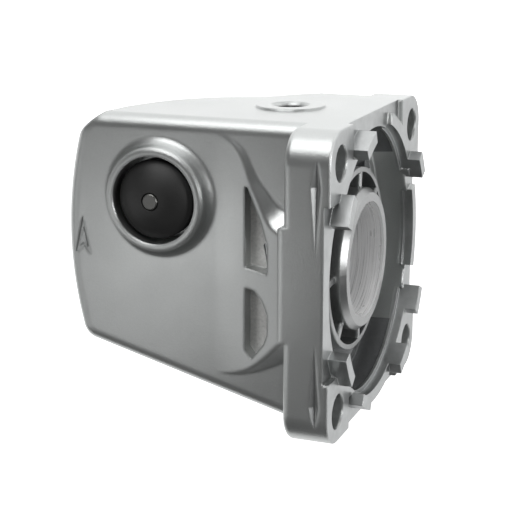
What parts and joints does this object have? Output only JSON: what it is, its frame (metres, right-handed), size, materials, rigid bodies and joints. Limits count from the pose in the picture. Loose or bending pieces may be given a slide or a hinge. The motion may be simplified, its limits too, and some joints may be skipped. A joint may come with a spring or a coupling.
{
  "type": "right-angle gear head",
  "caption": "Right-angle bevel gear head: die-cast housing with square motor flange and bearing bore, spindle lock button, side handle threads and a threaded output spindle.",
  "frame": {"origin": "on the motor axis, in the plane of the four flange pads that meet the motor housing", "axes": "+X out of the motor bore towards the motor, +Z out of the lock button's face, +Y towards the flat side with the side handle thread; the output spindle points along -Z"},
  "size_m": [0.0785, 0.0777, 0.0985],
  "materials": {
    "cast_aluminium": "satin, fine-grained die casting; bright where machined",
    "box_aluminium": "satin die casting",
    "black_plastic": "matte black",
    "pin_steel": "ground",
    "spring_steel": "drawn wire",
    "bearing_steel": "polished",
    "cage_steel": "pressed sheet",
    "spindle_steel": "turned and ground",
    "gear_steel": "hardened, oiled",
    "screw_steel": "zinc plated",
    "seal_rubber": "matte",
    "felt": "pressed felt"
  },
  "bodies": {
    "housing": {"gear_housing": "cast_aluminium", "lock_spring": "spring_steel", "lock_oring": "seal_rubber", "needle_cup": "bearing_steel", "bearing_outer_ring": "bearing_steel", "bearing_shields": "cage_steel", "bearing_box": "box_aluminium", "bearing_box_screws": "screw_steel", "bearing_box_oring": "seal_rubber", "bearing_retainer": "cage_steel", "retainer_screws": "screw_steel", "felt_ring": "felt"},
    "spindle_unit": {"spindle": "spindle_steel", "gear_key": "pin_steel", "crown_gear": "gear_steel", "gear_circlip": "spring_steel", "gear_spacer": "pin_steel", "bearing_inner_ring": "bearing_steel", "labyrinth_ring": "pin_steel"},
    "ball_set": {"bearing_balls": "bearing_steel", "bearing_cage": "cage_steel"},
    "needle_set": {"needle_rollers": "bearing_steel", "needle_cage": "cage_steel"},
    "lock": {"lock_button": "black_plastic", "lock_pin": "pin_steel"}
  },
  "joints": [
    {"name": "spindle_spin", "type": "hinge", "parent": "housing", "child": "spindle_unit", "pos_m": [-0.0475, 0, 0], "axis": [0, 0, 1], "continuous": true},
    {"name": "ball_set_spin", "type": "hinge", "parent": "housing", "child": "ball_set", "pos_m": [-0.0475, 0, 0], "axis": [0, 0, 1], "continuous": true},
    {"name": "needle_set_spin", "type": "hinge", "parent": "housing", "child": "needle_set", "pos_m": [-0.0475, 0, 0], "axis": [0, 0, 1], "continuous": true},
    {"name": "lock_press", "type": "slide", "parent": "housing", "child": "lock", "axis": [0, 0, -1], "range_m": [0, 0.0042], "stiffness_N_per_m": 1500, "springref_m": -0.003, "deforming": ["lock_spring"]}
  ],
  "couplings": [
    {"joint": "ball_set_spin", "follows": "spindle_spin", "ratio": 0.36477},
    {"joint": "needle_set_spin", "follows": "spindle_spin", "ratio": 0.42105}
  ]
}
